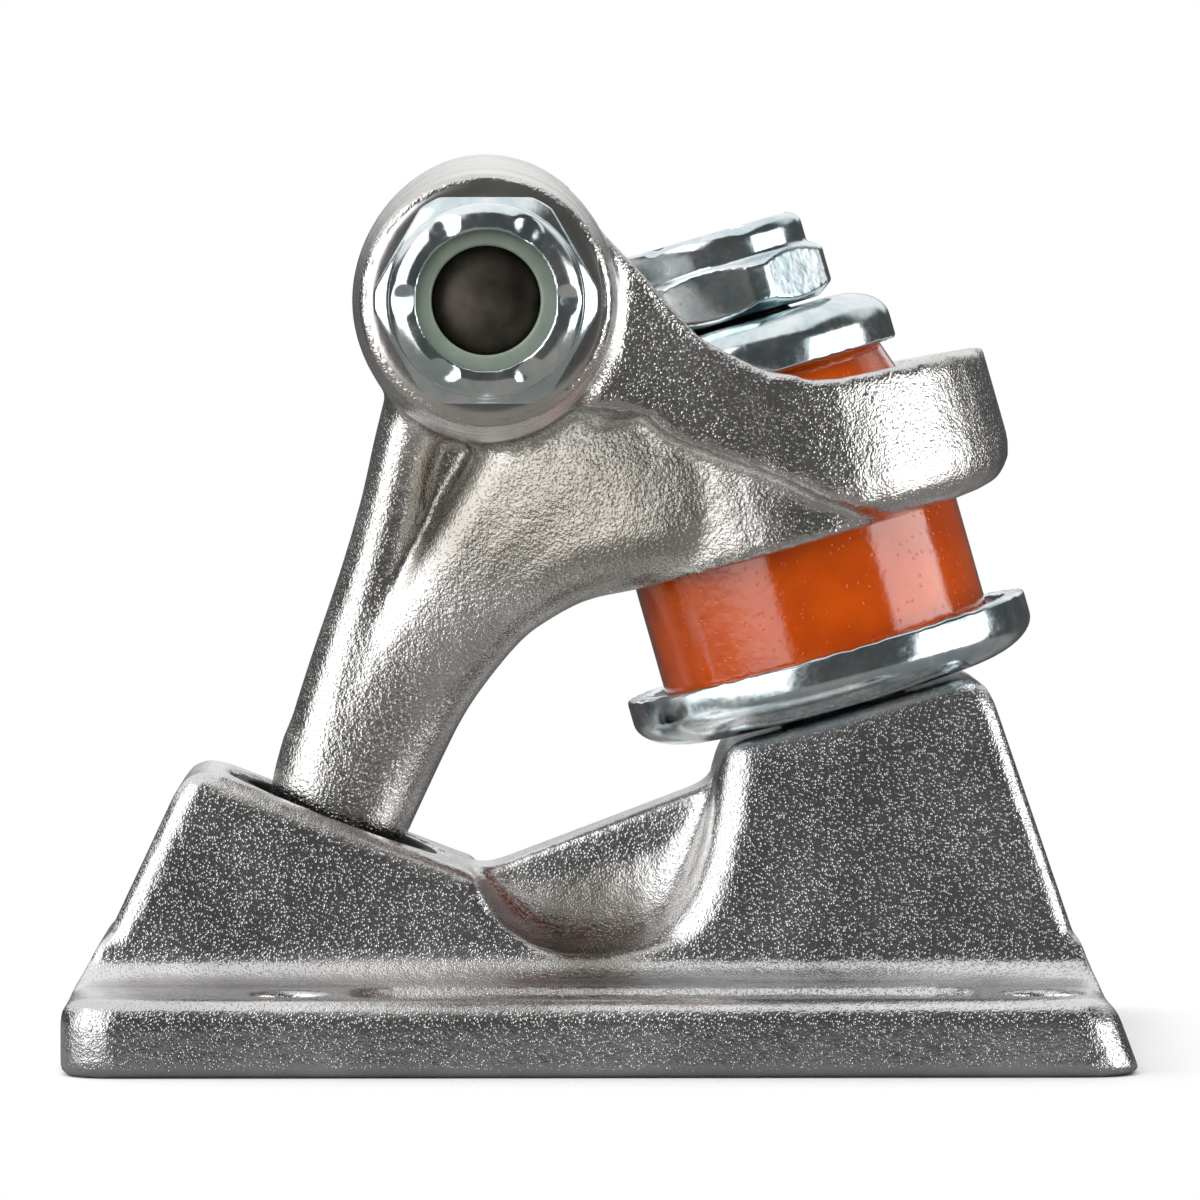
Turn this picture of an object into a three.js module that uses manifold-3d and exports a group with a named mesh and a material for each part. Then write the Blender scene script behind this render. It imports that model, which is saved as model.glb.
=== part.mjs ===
// A skateboard truck: baseplate, kingpin stack, steering hanger and axle, in millimetres with +Z up.
// The origin is the middle of the plate's underside. The axle lies along Y and the kingpin is on +X.
import * as THREE from 'three';
import { mergeVertices } from 'three/addons/utils/BufferGeometryUtils.js';
import Module from 'manifold-3d';

const wasm = await Module();
wasm.setup();

// Plate
const boltSpacingLong = 53.98;
const boltSpacingAcross = 41.28;
const boltHoleRadius = 2.7;
const boltFrontMargin = 6.65;
const boltBackMargin = 16.17;
const boltSideMargin = 6.86;
const plateThickness = 5.5;
const plateCorner = 3.5;
const plateEdge = 1.5;
const plateLowerEdge = 0.3;
const plateDraft = 1.9;
const sideRecessDepth = 1;
const sideRecessCorner = 3;
const sideRecessFromBolt = 4.6;
const sideRecessWall = 1.5;
const plateLength = boltBackMargin + boltSpacingLong + boltFrontMargin;
const plateWidth = boltSpacingAcross + 2 * boltSideMargin;

// Pivot
const pivotEndMargin = 16.8;
const pivotHeight = 10.6;
const pivotTilt = 21;
const pivotBallRadius = 5;
const pivotNeckStep = 0.5;
const pivotMouthRise = 7.1;
const stemRadius = 5.3;
const pivotCupRadius = 8;
const pivotCupWall = 1.6;
const pivotCupMouthWall = 1;
const pivotCupLip = 0.6;
const pivotReach = plateLength / 2 - pivotEndMargin;
const pivotNeckRadius = pivotBallRadius - pivotNeckStep;
const pivotCupMouth = pivotCupRadius - pivotCupMouthWall;

// Casting that stands on the plate
const blockWall = 3;
const blockDraft = 1;
const blockEdge = 1.5;
const blockCorner = 2.4;
const footFillet = 3;
const footEndShare = 0.05;
const pivotHousingBack = 18.6;
const pivotHousingTop = 21.4;
const kingpinBlockBack = 9.3;
const kingpinBlockFront = 10.4;
const blockFootMargin = 2.2;
const ridgeWidth = 8;
const ridgeDrop = 3;
const scoopFloor = 2;
const scoopLip = 2.4;
const blockWidth = 2 * ( pivotCupRadius + blockWall );
const blockFrontFoot = plateLength / 2 - blockFootMargin;

// Kingpin and the pieces on it, from the block up
const kingpinEndMargin = 21.5;
const kingpinRimHeight = 29.6;
const kingpinTilt = 16;
const kingpinRadius = 4.76;
const kingpinHeadAcross = 14.29;
const kingpinHeadHeight = 5.5;
const kingpinSeatThickness = 13;
const kingpinTipShort = 0.9;
const bushingEdge = 0.5;
const bottomBushingRadius = 12.3;
const bottomBushingHeight = 12.3;
const webThickness = 2.2;
const topBushingBottomRadius = 12.2;
const topBushingTopRadius = 9.6;
const topBushingHeight = 9.2;
const bottomWasherPlay = 1.3;
const bottomWasherDepth = 4.3;
const bottomWasherRim = 1.6;
const topWasherPlay = 0.7;
const topWasherDepth = 4.2;
const topWasherRim = 1;
const washerThickness = 2;
const washerSeatShare = 0.68;
const washerLipShare = 0.42;
const kingpinNutAcross = 14.29;
const kingpinNutHexHeight = 4.3;
const kingpinNutHeight = 6.6;
const kingpinNutCollarWall = 0.54;
const kingpinNutTurn = 20;
const kingpinInsertWall = 0.9;
const kingpinInsertHeight = 1.8;
const kingpinReach = plateLength / 2 - kingpinEndMargin;
const bottomWasherRadius = bottomBushingRadius + bottomWasherPlay + bottomWasherRim;
const topWasherRadius = topBushingTopRadius + topWasherPlay + topWasherRim;

// Hanger
const axleHeight = 55;
const axleBehindKingpin = 25;
const hangerLength = 144;
const crossbarEndRadius = 8.3;
const crossbarMidRadius = 9.9;
const crossbarTopBulge = 0.9;
const crossbarUnderBulge = 0.7;
const crossbarEndChamfer = 0.5;
const crossbarStations = 8;
const pocketPlay = 0.5;
const nutPocketPlay = 2.45;
const ringWall = 4.5;
const ringEdge = 3;
const ringLowerWall = 2.2;
const ringRecess = 2.6;
const ringFrontRise = 9.9;
const ringSideRise = 10.9;
const ringBackShare = 0.72;
const ringFrontWall = 1.9;
const ringSideWall = 1.4;
const webHolePlay = 1.74;
const armFlare = 2.6;
const coreWidth = 6.8;
const axleSetback = axleBehindKingpin - kingpinReach;
const pocketRadius = topBushingBottomRadius + pocketPlay;
const nutPocketReach = kingpinNutAcross / 2 / Math.cos( Math.PI / 6 ) + nutPocketPlay;
const ringRadius = pocketRadius + ringWall;
const ringLowerRadius = bottomBushingRadius + ringLowerWall;
const pocketFlare = ringRadius - ringFrontWall;
const pocketSide = ringRadius - ringSideWall;
const webHoleRadius = kingpinRadius + webHolePlay;
const armSpread = ringRadius + armFlare;

// Axle and what is on it
const axleLength = 209.5;
const axleRadius = 3.97;
const axleTipChamfer = 0.8;
const axleNutAcross = 12.7;
const axleNutHeight = 8.7;
const axleNutHexHeight = 6;
const axleNutProud = 2;
const axleNutCollarWall = 0.95;
const axleNutTurn = 30;
const axleNutInsertHole = 3.35;
const axleNutInsertWall = 1.4;
const axleNutInsertHeight = 1.6;
const speedRingWall = 2.08;
const speedRingThickness = 1;
const axleNutInsertRadius = axleNutInsertHole + axleNutInsertWall;

// Fits
const gap = 0.3;
const boreGap = 0.4;
const overrun = 1;
const roundSteps = 40;
const smallRoundSteps = 24;
const cornerSteps = 3;
const washerSteps = 5;

const upright = Math.PI / 2;
const radians = THREE.MathUtils.degToRad;

// Geometry helpers

function closedSolid( geometry, placement ) {
  let bare = new THREE.BufferGeometry();
  bare.setAttribute( 'position', geometry.attributes.position.clone() );
  if ( geometry.index ) bare.setIndex( geometry.index.clone() );
  if ( placement ) bare.applyMatrix4( placement );
  bare = mergeVertices( bare );
  const corners = bare.index.array;
  const faces = [];
  for ( let i = 0; i < corners.length; i += 3 ) {
    const [ a, b, c ] = corners.slice( i, i + 3 );
    if ( a !== b && b !== c && c !== a ) faces.push( a, b, c );
  }
  return new wasm.Manifold( new wasm.Mesh( {
    numProp: 3,
    vertProperties: new Float32Array( bare.attributes.position.array ),
    triVerts: new Uint32Array( faces ),
  } ) );
}

function geometryOf( solid ) {
  const mesh = solid.getMesh();
  const geometry = new THREE.BufferGeometry();
  const positions = new Float32Array( mesh.vertProperties );
  geometry.setAttribute( 'position', new THREE.BufferAttribute( positions, 3 ) );
  geometry.setIndex( Array.from( mesh.triVerts ) );
  return geometry.toNonIndexed();
}

// Rings of equal counts, skinned side by side and closed with a fan at each end.
function loft( rings ) {
  const count = rings[ 0 ].length;
  const points = rings.flat();
  const faces = [];
  for ( let r = 0; r < rings.length - 1; r ++ ) {
    for ( let i = 0; i < count; i ++ ) {
      const a = r * count + i;
      const b = r * count + ( i + 1 ) % count;
      faces.push( a, b, b + count, a, b + count, a + count );
    }
  }
  const addCap = ( start, flip ) => {
    const middle = new THREE.Vector3();
    for ( let i = 0; i < count; i ++ ) middle.addScaledVector( points[ start + i ], 1 / count );
    const hub = points.push( middle ) - 1;
    for ( let i = 0; i < count; i ++ ) {
      const a = start + i;
      const b = start + ( i + 1 ) % count;
      faces.push( ...( flip ? [ b, a, hub ] : [ a, b, hub ] ) );
    }
  };
  addCap( 0, true );
  addCap( ( rings.length - 1 ) * count, false );
  let volume = 0;
  for ( let i = 0; i < faces.length; i += 3 ) {
    const [ a, b, c ] = faces.slice( i, i + 3 ).map( ( f ) => points[ f ] );
    volume += a.dot( b.clone().cross( c ) );
  }
  if ( volume < 0 ) faces.reverse();
  const geometry = new THREE.BufferGeometry().setFromPoints( points );
  geometry.setIndex( faces );
  return geometry;
}

// A solid of revolution about Z from [radius, height] points.
function turned( profile, steps = roundSteps ) {
  const points = profile.map( ( [ r, h ] ) => new THREE.Vector2( r, h ) );
  return new THREE.LatheGeometry( points, steps ).rotateX( upright );
}

// Points of a quarter round in a [radius, height] profile.
function quarter( centre, size, from, steps = cornerSteps ) {
  const points = [];
  for ( let i = 0; i <= steps; i ++ ) {
    const angle = radians( from ) + upright * i / steps;
    points.push( [ centre[ 0 ] + size * Math.cos( angle ), centre[ 1 ] + size * Math.sin( angle ) ] );
  }
  return points;
}

// A closed shape whose corners [x, y, radius] are rounded.
function roundedShape( corners ) {
  const shape = new THREE.Shape();
  corners.forEach( ( [ x, y, radius = 0 ], i ) => {
    const here = new THREE.Vector2( x, y );
    const back = corners[ ( i + corners.length - 1 ) % corners.length ];
    const next = corners[ ( i + 1 ) % corners.length ];
    const into = new THREE.Vector2( back[ 0 ], back[ 1 ] ).sub( here ).setLength( radius ).add( here );
    const out = new THREE.Vector2( next[ 0 ], next[ 1 ] ).sub( here ).setLength( radius ).add( here );
    if ( i === 0 ) shape.moveTo( into.x, into.y );
    else shape.lineTo( into.x, into.y );
    if ( radius > 0 ) shape.quadraticCurveTo( x, y, out.x, out.y );
  } );
  shape.closePath();
  return shape;
}

// A side outline in [x, z], extruded along Y to both sides of the middle plane.
function acrossY( corners, width, edge = 0 ) {
  const geometry = new THREE.ExtrudeGeometry( roundedShape( corners ), {
    depth: width - 2 * edge,
    curveSegments: cornerSteps,
    bevelEnabled: edge > 0,
    bevelThickness: edge,
    bevelSize: edge,
    bevelOffset: - edge,
    bevelSegments: cornerSteps,
  } );
  geometry.translate( 0, 0, edge - width / 2 );
  return geometry.rotateX( upright );
}

// A plan outline in [x, y], extruded up Z from one height to another.
function upZ( corners, low, high ) {
  const geometry = new THREE.ExtrudeGeometry( roundedShape( corners ), {
    depth: high - low,
    curveSegments: cornerSteps,
    bevelEnabled: false,
  } );
  return geometry.translate( 0, 0, low );
}

function hexagon( across, low, high, turn = 0 ) {
  const radius = across / 2 / Math.cos( Math.PI / 6 );
  const geometry = new THREE.CylinderGeometry( radius, radius, high - low, 6 );
  return geometry.rotateX( upright ).rotateZ( turn ).translate( 0, 0, ( low + high ) / 2 );
}

function cylinder( radius, low, high, steps = roundSteps ) {
  return turned( [ [ 0, low ], [ radius, low ], [ radius, high ], [ 0, high ] ], steps );
}

// Frames of the tilted kingpin, of the pivot and of the axle

const kingpinFrame = new THREE.Matrix4()
  .makeRotationY( - radians( kingpinTilt ) )
  .setPosition( kingpinReach, 0, kingpinRimHeight );
const pivotFrame = new THREE.Matrix4()
  .makeRotationY( radians( pivotTilt ) )
  .setPosition( - pivotReach, 0, pivotHeight );

const axleFrame = new THREE.Matrix4()
  .makeRotationX( upright )
  .setPosition( - axleSetback, 0, axleHeight );

const onKingpin = ( along, up ) => new THREE.Vector3( along, 0, up ).applyMatrix4( kingpinFrame );
const onPivot = ( along, up ) => new THREE.Vector3( along, 0, up ).applyMatrix4( pivotFrame );
const inKingpinFrame = ( x, z ) => new THREE.Vector3( x, 0, z ).applyMatrix4( kingpinFrame.clone().invert() );

// Levels up the kingpin, from the rim of the bottom washer

const blockSeatLevel = - bottomWasherDepth - gap;
const headLevel = blockSeatLevel - kingpinSeatThickness;
const bottomBushingLevel = washerThickness - bottomWasherDepth + gap;
const bottomBushingTop = bottomBushingLevel + bottomBushingHeight;
const webLevel = bottomBushingTop + gap;
const webTop = webLevel + webThickness;
const ringLevel = webLevel - ringRecess;
const topBushingLevel = webTop + gap;
const topBushingTop = topBushingLevel + topBushingHeight;
const topWasherTop = topBushingTop + gap + washerThickness;
const kingpinNutLevel = topWasherTop + gap;
const kingpinNutTop = kingpinNutLevel + kingpinNutHeight;
const kingpinTip = kingpinNutTop - kingpinTipShort;
const ringFrontTop = ringLevel + ringFrontRise;
const ringSideTop = ringLevel + ringSideRise;
const pocketTop = kingpinNutTop + 2 * ringEdge;

// Baseplate

function makePlate() {
  const ring = ( height, inset, draft ) => {
    const left = - plateLength / 2 + inset;
    const right = plateLength / 2 - inset - draft;
    const side = plateWidth / 2 - inset;
    const radius = plateCorner - inset;
    const points = [];
    const corners = [ [ right, side ], [ left, side ], [ left, - side ], [ right, - side ] ];
    corners.forEach( ( [ x, y ], turn ) => {
      const centreX = x - Math.sign( x ) * radius;
      const centreY = y - Math.sign( y ) * radius;
      for ( let i = 0; i <= cornerSteps; i ++ ) {
        const angle = upright * ( turn + i / cornerSteps );
        points.push( new THREE.Vector3(
          centreX + radius * Math.cos( angle ),
          centreY + radius * Math.sin( angle ),
          height,
        ) );
      }
    } );
    return points;
  };
  const rings = [ ring( 0, plateLowerEdge, 0 ), ring( plateLowerEdge, 0, 0 ) ];
  quarter( [ 0, 0 ], plateEdge, 0 ).forEach( ( [ out, up ] ) => {
    const height = plateThickness - plateEdge + up;
    rings.push( ring( height, plateEdge - out, plateDraft * height / plateThickness ) );
  } );
  return closedSolid( loft( rings ) );
}

const seatLine = ( x ) => {
  const seat = onKingpin( 0, blockSeatLevel );
  return seat.z + ( x - seat.x ) * Math.tan( radians( kingpinTilt ) );
};
const housingLine = ( x ) => {
  const mouth = onPivot( 0, pivotMouthRise );
  return mouth.z - ( x - mouth.x ) * Math.tan( radians( pivotTilt ) );
};
const valleyX = onPivot( 0, pivotMouthRise ).x + pivotHousingTop / 2;
const housingBackX = valleyX - pivotHousingTop;
const blockBackX = onKingpin( - kingpinBlockBack, blockSeatLevel ).x;
const blockFrontX = onKingpin( kingpinBlockFront, blockSeatLevel ).x;
const housingFootX = onPivot( 0, pivotMouthRise ).x - pivotHousingBack;
const ridgeRise = seatLine( blockBackX ) - ridgeDrop;
const blockRise = seatLine( blockFrontX ) - plateThickness;
const drawnInAt = ( height ) => blockDraft * ( height - plateThickness ) / blockRise;

function makeBlocks() {
  const outline = [
    [ housingFootX, plateThickness - overrun ],
    [ blockFrontFoot, plateThickness - overrun ],
    [ blockFrontX, seatLine( blockFrontX ), blockCorner ],
    [ blockBackX, seatLine( blockBackX ), blockEdge ],
    [ blockBackX - blockEdge / 3, ridgeRise, blockEdge ],
    [ valleyX, housingLine( valleyX ), blockEdge ],
    [ housingBackX, housingLine( housingBackX ), blockCorner ],
  ];
  const body = acrossY( outline, blockWidth, blockEdge );
  const place = body.attributes.position;
  for ( let i = 0; i < place.count; i ++ ) {
    place.setY( i, place.getY( i ) * ( 1 - drawnInAt( place.getZ( i ) ) / ( blockWidth / 2 ) ) );
  }
  return closedSolid( body );
}

// The concave fillet along both sides, where the blocks stand on the plate.
function makeFoot() {
  const { mapLinear } = THREE.MathUtils;
  const ring = ( side, height ) => {
    const back = mapLinear( height, plateThickness, housingLine( housingBackX ), housingFootX, housingBackX );
    const front = mapLinear( height, plateThickness, seatLine( blockFrontX ), blockFrontFoot, blockFrontX );
    const flare = ( side - blockWidth / 2 ) * footEndShare;
    return [
      new THREE.Vector3( back - flare, - side, height ),
      new THREE.Vector3( front + flare, - side, height ),
      new THREE.Vector3( front + flare, side, height ),
      new THREE.Vector3( back - flare, side, height ),
    ];
  };
  const drawnIn = drawnInAt( plateThickness + 1.5 * footFillet );
  const centre = [ blockWidth / 2 + footFillet - drawnIn, plateThickness + footFillet ];
  const rings = quarter( centre, footFillet, 180 ).map( ( [ side, height ] ) => ring( side, height ) );
  rings.push( ring( centre[ 0 ], plateThickness - overrun / 2 ) );
  return closedSolid( loft( rings ) );
}

// Shares of the valley's length and of the block's height, along the scoop's edge on the side face.
const scoopEdgeShares = [
  [ 0, 0.394 ], [ 0.06, 0.25 ], [ 0.12, 0.139 ], [ 0.24, 0.045 ], [ 0.36, 0.006 ], [ 0.51, 0 ],
  [ 0.67, 0.045 ], [ 0.79, 0.139 ], [ 0.865, 0.277 ], [ 0.92, 0.465 ], [ 0.95, 0.652 ],
  [ 0.97, 0.839 ], [ 1, 1 ],
];
const scoopSteps = 7;

// Shares of the valley's length between which the round on the scoop's edge grows to its full size.
const scoopLipShares = [ 0.62, 0.84 ];

// A bowl cut from one side of the valley, which leaves the ridge standing in the middle.
function makeScoop( side ) {
  const startX = valleyX - blockEdge / 2;
  const floor = plateThickness + scoopFloor;
  const top = seatLine( blockBackX );
  const roof = top + overrun;
  const half = blockWidth / 2;
  const { lerp, mapLinear, smoothstep } = THREE.MathUtils;
  const ridgeHeight = ( x ) => mapLinear( x, valleyX, blockBackX, housingLine( valleyX ), ridgeRise );
  const depthAt = ( y ) => Math.sqrt( 1 - ( ( half - y ) / ( half - ridgeWidth / 2 ) ) ** 2 );
  const ring = ( depth, sideAt, lip = 0 ) => {
    const points = scoopEdgeShares.map( ( [ along, up ] ) => {
      const x = lerp( startX, blockBackX, along );
      const edge = lerp( floor, top, up );
      const start = Math.max( ridgeHeight( x ) + gap, edge );
      return new THREE.Vector3( x, 0, lerp( start, edge, depth ) );
    } );
    points.push( new THREE.Vector3( blockBackX, 0, roof ) );
    const flared = points.map( ( point, i ) => {
      const last = points[ Math.max( i - 1, 0 ) ];
      const next = points[ Math.min( i + 1, points.length - 1 ) ];
      const along = ( point.x - startX ) / ( blockBackX - startX );
      const out = new THREE.Vector3( next.z - last.z, 0, last.x - next.x );
      return point.clone().add( out.setLength( lip * smoothstep( along, ...scoopLipShares ) ) );
    } );
    flared.push( new THREE.Vector3( startX, 0, roof ) );
    return flared.map( ( point ) => point.setY( side * sideAt( point.z ) ) );
  };
  const bowlSide = half - scoopLip - 1.2 * blockDraft;
  const rings = [];
  for ( let i = 0; i <= scoopSteps; i ++ ) {
    const y = lerp( ridgeWidth / 2, bowlSide, i / scoopSteps );
    rings.push( ring( depthAt( y ), () => y ) );
  }
  quarter( [ scoopLip, half - scoopLip ], scoopLip, 90 ).reverse().forEach( ( [ lip, y ] ) => {
    rings.push( ring( depthAt( Math.min( y, half ) ), ( height ) => y - drawnInAt( height ), lip ) );
  } );
  rings.push( ring( 1, () => half + footFillet + overrun, scoopLip ) );
  return closedSolid( loft( rings ) );
}

const cupFloor = - pivotBallRadius - gap - pivotCupWall;
const cupShoulder = pivotCupRadius / 2;

function cupOutline( spread ) {
  return [
    [ 0, cupFloor - spread ],
    [ cupShoulder + spread, cupFloor - spread ],
    [ pivotCupRadius + spread, cupFloor + cupShoulder ],
  ];
}

// The sunk panel between the bolt holes on one side of the plate.
function makeSideRecess( backRow, frontRow, side ) {
  const inner = blockWidth / 2 + footFillet + gap;
  const outer = plateWidth / 2 - plateEdge - sideRecessWall;
  const back = backRow + sideRecessFromBolt;
  const front = frontRow - sideRecessFromBolt;
  const corners = [ [ back, inner ], [ front, inner ], [ front, outer ], [ back, outer ] ];
  const outline = corners.map( ( [ x, y ] ) => [ x, side * y, sideRecessCorner ] );
  if ( side < 0 ) outline.reverse();
  return upZ( outline, plateThickness - sideRecessDepth, plateThickness + overrun );
}

function makeBaseplate() {
  const mouth = pivotMouthRise + overrun;
  const cupBore = [ ...cupOutline( gap ), [ pivotCupRadius + gap, mouth ], [ 0, mouth ] ];
  const headRadius = kingpinHeadAcross / 2 / Math.cos( Math.PI / 6 ) + 2 * gap;
  const shankBore = cylinder( kingpinRadius + boreGap, headLevel - overrun, blockSeatLevel + overrun );
  const headPocket = cylinder( headRadius, headLevel - kingpinRimHeight, headLevel );
  let body = makePlate().add( makeBlocks() ).add( makeFoot() );
  body = body.subtract( makeScoop( 1 ) ).subtract( makeScoop( - 1 ) );
  body = body.subtract( closedSolid( turned( cupBore ), pivotFrame ) );
  body = body.subtract( closedSolid( shankBore, kingpinFrame ) );
  body = body.subtract( closedSolid( headPocket, kingpinFrame ) );
  const frontRow = plateLength / 2 - boltFrontMargin;
  const backRow = frontRow - boltSpacingLong;
  [ 1, - 1 ].forEach( ( side ) => {
    [ frontRow, backRow ].forEach( ( x ) => {
      const hole = cylinder( boltHoleRadius, - overrun, plateThickness + overrun, smallRoundSteps );
      body = body.subtract( closedSolid( hole.translate( x, side * boltSpacingAcross / 2, 0 ) ) );
    } );
    body = body.subtract( closedSolid( makeSideRecess( backRow, frontRow, side ) ) );
  } );
  return geometryOf( body );
}

function makePivotCup() {
  const inner = pivotBallRadius + gap;
  const bowl = quarter( [ 0, 0 ], inner, 270, 2 * cornerSteps );
  const top = pivotMouthRise + pivotCupLip;
  return turned( [
    ...cupOutline( 0 ),
    [ pivotCupRadius, top - pivotCupLip / 2 ],
    [ pivotCupRadius - pivotCupLip / 2, top ],
    [ pivotCupMouth, top ],
    ...bowl.reverse(),
  ] );
}

// Kingpin stack

function makeKingpin() {
  const headTop = headLevel - gap;
  const tip = quarter( [ kingpinRadius - gap, kingpinTip - gap ], gap, 0, 1 );
  const root = headTop - overrun;
  const shank = turned( [ [ 0, root ], [ kingpinRadius, root ], ...tip, [ 0, kingpinTip ] ] );
  const head = hexagon( kingpinHeadAcross, headTop - kingpinHeadHeight, headTop );
  return geometryOf( closedSolid( head ).add( closedSolid( shank ) ) );
}

// A stamped cup: its rim's top is at zero and its flat seat is at minus the depth.
function makeCupWasher( { radius, depth, rim } ) {
  const bore = kingpinRadius + boreGap;
  const seat = radius * washerSeatShare;
  const lip = depth * washerLipShare;
  const floor = washerThickness - depth;
  const edge = rim / 4;
  const points = [ [ bore, - depth ] ];
  for ( let i = 0; i <= washerSteps; i ++ ) {
    const angle = upright * i / washerSteps;
    const out = ( radius - seat ) * Math.sin( angle );
    const down = ( depth - lip ) * Math.cos( angle );
    points.push( [ seat + out, - lip - down ] );
  }
  const inside = radius - rim;
  const corner = inside - Math.abs( floor + lip );
  points.push( [ radius, - edge ], [ radius - edge, 0 ], [ inside + edge, 0 ], [ inside, - edge ] );
  points.push( [ inside, Math.max( - lip, floor + edge ) ], [ corner, floor ] );
  points.push( [ bore, floor ], [ bore, - depth ] );
  return turned( points );
}

function makeBushing( { low, high, height } ) {
  const bore = kingpinRadius + boreGap;
  const edge = bushingEdge;
  return turned( [
    [ bore, 0 ],
    [ low - edge, 0 ],
    [ low, edge ],
    [ high, height - edge ],
    [ high - edge, height ],
    [ bore, height ],
    [ bore, 0 ],
  ] );
}

// A lock nut standing on zero: a chamfered hexagon and the collar that holds its nylon ring.
function makeLockNut( { across, hexHeight, height, collar, bore, insert, insertHeight, turn } ) {
  const corner = across / 2 / Math.cos( Math.PI / 6 );
  const bevel = corner - across / 2;
  const chamfer = turned( [
    [ 0, 0 ],
    [ across / 2, 0 ],
    [ corner, bevel / 2 ],
    [ corner, hexHeight - bevel / 2 ],
    [ across / 2, hexHeight ],
    [ 0, hexHeight ],
  ], smallRoundSteps );
  const shoulder = ( height - hexHeight ) / 3;
  const root = hexHeight - overrun;
  const crown = quarter( [ collar - shoulder, height - shoulder ], shoulder, 0, 2 );
  const collarBody = turned( [ [ 0, root ], [ collar, root ], ...crown, [ 0, height ] ], smallRoundSteps );
  let body = closedSolid( hexagon( across, 0, hexHeight, turn ) ).intersect( closedSolid( chamfer ) );
  body = body.add( closedSolid( collarBody ) );
  body = body.subtract( closedSolid( cylinder( bore, - overrun, height + overrun, smallRoundSteps ) ) );
  const pocket = cylinder( insert + gap, height - insertHeight - 2 * gap, height + overrun, smallRoundSteps );
  return geometryOf( body.subtract( closedSolid( pocket ) ) );
}

function makeRing( inner, outer, height, steps = smallRoundSteps ) {
  return turned( [ [ inner, 0 ], [ outer, 0 ], [ outer, height ], [ inner, height ], [ inner, 0 ] ], steps );
}

// Hanger

const mouthPoint = onPivot( 0, pivotMouthRise );
const ringPoint = onKingpin( 0, ( webLevel + webTop ) / 2 );
const axlePoint = inKingpinFrame( - axleSetback, axleHeight );

// Shares of the way from the pivot's mouth to the ring, and from the mouth up to the axle.
const inStem = ( along, up ) => new THREE.Vector3(
  THREE.MathUtils.lerp( mouthPoint.x, ringPoint.x, along ),
  0,
  THREE.MathUtils.lerp( mouthPoint.z, axleHeight, up ),
);

// Shares of the way from the kingpin back to the axle, and from the ring's underside up to the axle.
const inArm = ( back, up ) => [ back * axlePoint.x, THREE.MathUtils.lerp( ringLevel, axlePoint.z, up ) ];

// Each section: its lower and upper end, its half width as a share of the ring's radius, and its
// roundness, from nought for a rectangle to one for an ellipse.
const webSectionShares = [
  [ 0.152, - 0.05, - 0.151, 0.05, 0.308, 0.8 ],
  [ 0.215, 0.067, - 0.118, 0.16, 0.308, 0.8 ],
  [ 0.28, 0.183, - 0.038, 0.287, 0.32, 0.72 ],
  [ 0.341, 0.261, 0.078, 0.406, 0.36, 0.6 ],
  [ 0.416, 0.339, 0.191, 0.538, 0.43, 0.5 ],
  [ 0.476, 0.378, 0.3, 0.7, 0.52, 0.44 ],
  [ 0.56, 0.417, 0.42, 0.86, 0.63, 0.42 ],
  [ 0.665, 0.437, 0.6, 0.93, 0.72, 0.42 ],
  [ 0.77, 0.46, 0.75, 0.9, 0.77, 0.45 ],
  [ 0.857, 0.4875, 0.83, 0.84, 0.78, 0.6 ],
];
const ribSectionShares = [
  [ 0.145, - 0.049, - 0.151, 0.049, 0.305, 0.8 ],
  [ 0.142, 0.16, - 0.091, 0.222, 0.3, 0.8 ],
  [ 0.15, 0.284, - 0.047, 0.339, 0.3, 0.8 ],
  [ 0.165, 0.42, 0.005, 0.47, 0.3, 0.8 ],
  [ 0.2, 0.577, 0.053, 0.612, 0.31, 0.8 ],
  [ 0.227, 0.691, 0.081, 0.723, 0.34, 0.8 ],
  [ 0.273, 0.794, 0.111, 0.828, 0.38, 0.8 ],
];
const coreShares = [
  [ - 0.029, 0.181 ], [ 0.154, 0.075 ], [ 0.276, 0.234 ], [ 0.429, 0.419 ], [ 0.49, 0.815 ],
  [ 0.154, 0.815 ], [ 0.056, 0.551 ],
];
const armUndersideShares = [
  [ - 0.4, - 0.02 ], [ - 0.36, 0.0225 ], [ - 0.144, 0.125 ], [ 0.032, 0.237 ], [ 0.244, 0.3475 ],
  [ 0.4075, 0.436 ], [ 0.505, 0.5385 ], [ 0.593, 0.559 ], [ 0.822, 0.625 ],
];
const armTopShares = [
  [ 1, 1 ], [ 0.62, 1.16 ], [ 0.47, 1.13 ], [ 0.375, 1 ], [ 0.288, 0.87 ], [ 0.176, 0.705 ],
  [ - 0.031, 0.564 ], [ - 0.323, 0.4635 ],
];
const reliefCount = 7;
const sectionSteps = 24;
const webStations = 20;
const ribStations = 12;

function stemSection( [ lowAlong, lowUp, highAlong, highUp, halfShare, roundness ] ) {
  const low = inStem( lowAlong, lowUp );
  const high = inStem( highAlong, highUp );
  const middle = low.clone().add( high ).multiplyScalar( 0.5 );
  const reach = high.clone().sub( low ).multiplyScalar( 0.5 );
  const soften = ( value ) => Math.sign( value ) * Math.abs( value ) ** roundness;
  const points = [];
  for ( let i = 0; i < sectionSteps; i ++ ) {
    const angle = 2 * Math.PI * i / sectionSteps;
    const point = middle.clone().addScaledVector( reach, soften( Math.cos( angle ) ) );
    points.push( point.setY( halfShare * ringRadius * soften( Math.sin( angle ) ) ) );
  }
  return points;
}

// Sections along a smooth curve through those of the table.
function stemSections( table, stations ) {
  const columns = table[ 0 ].map( ( value, column ) => new THREE.SplineCurve(
    table.map( ( row, i ) => new THREE.Vector2( i, row[ column ] ) ),
  ) );
  const rings = [];
  for ( let i = 0; i <= stations; i ++ ) {
    rings.push( stemSection( columns.map( ( curve ) => curve.getPoint( i / stations ).y ) ) );
  }
  return rings;
}

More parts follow.
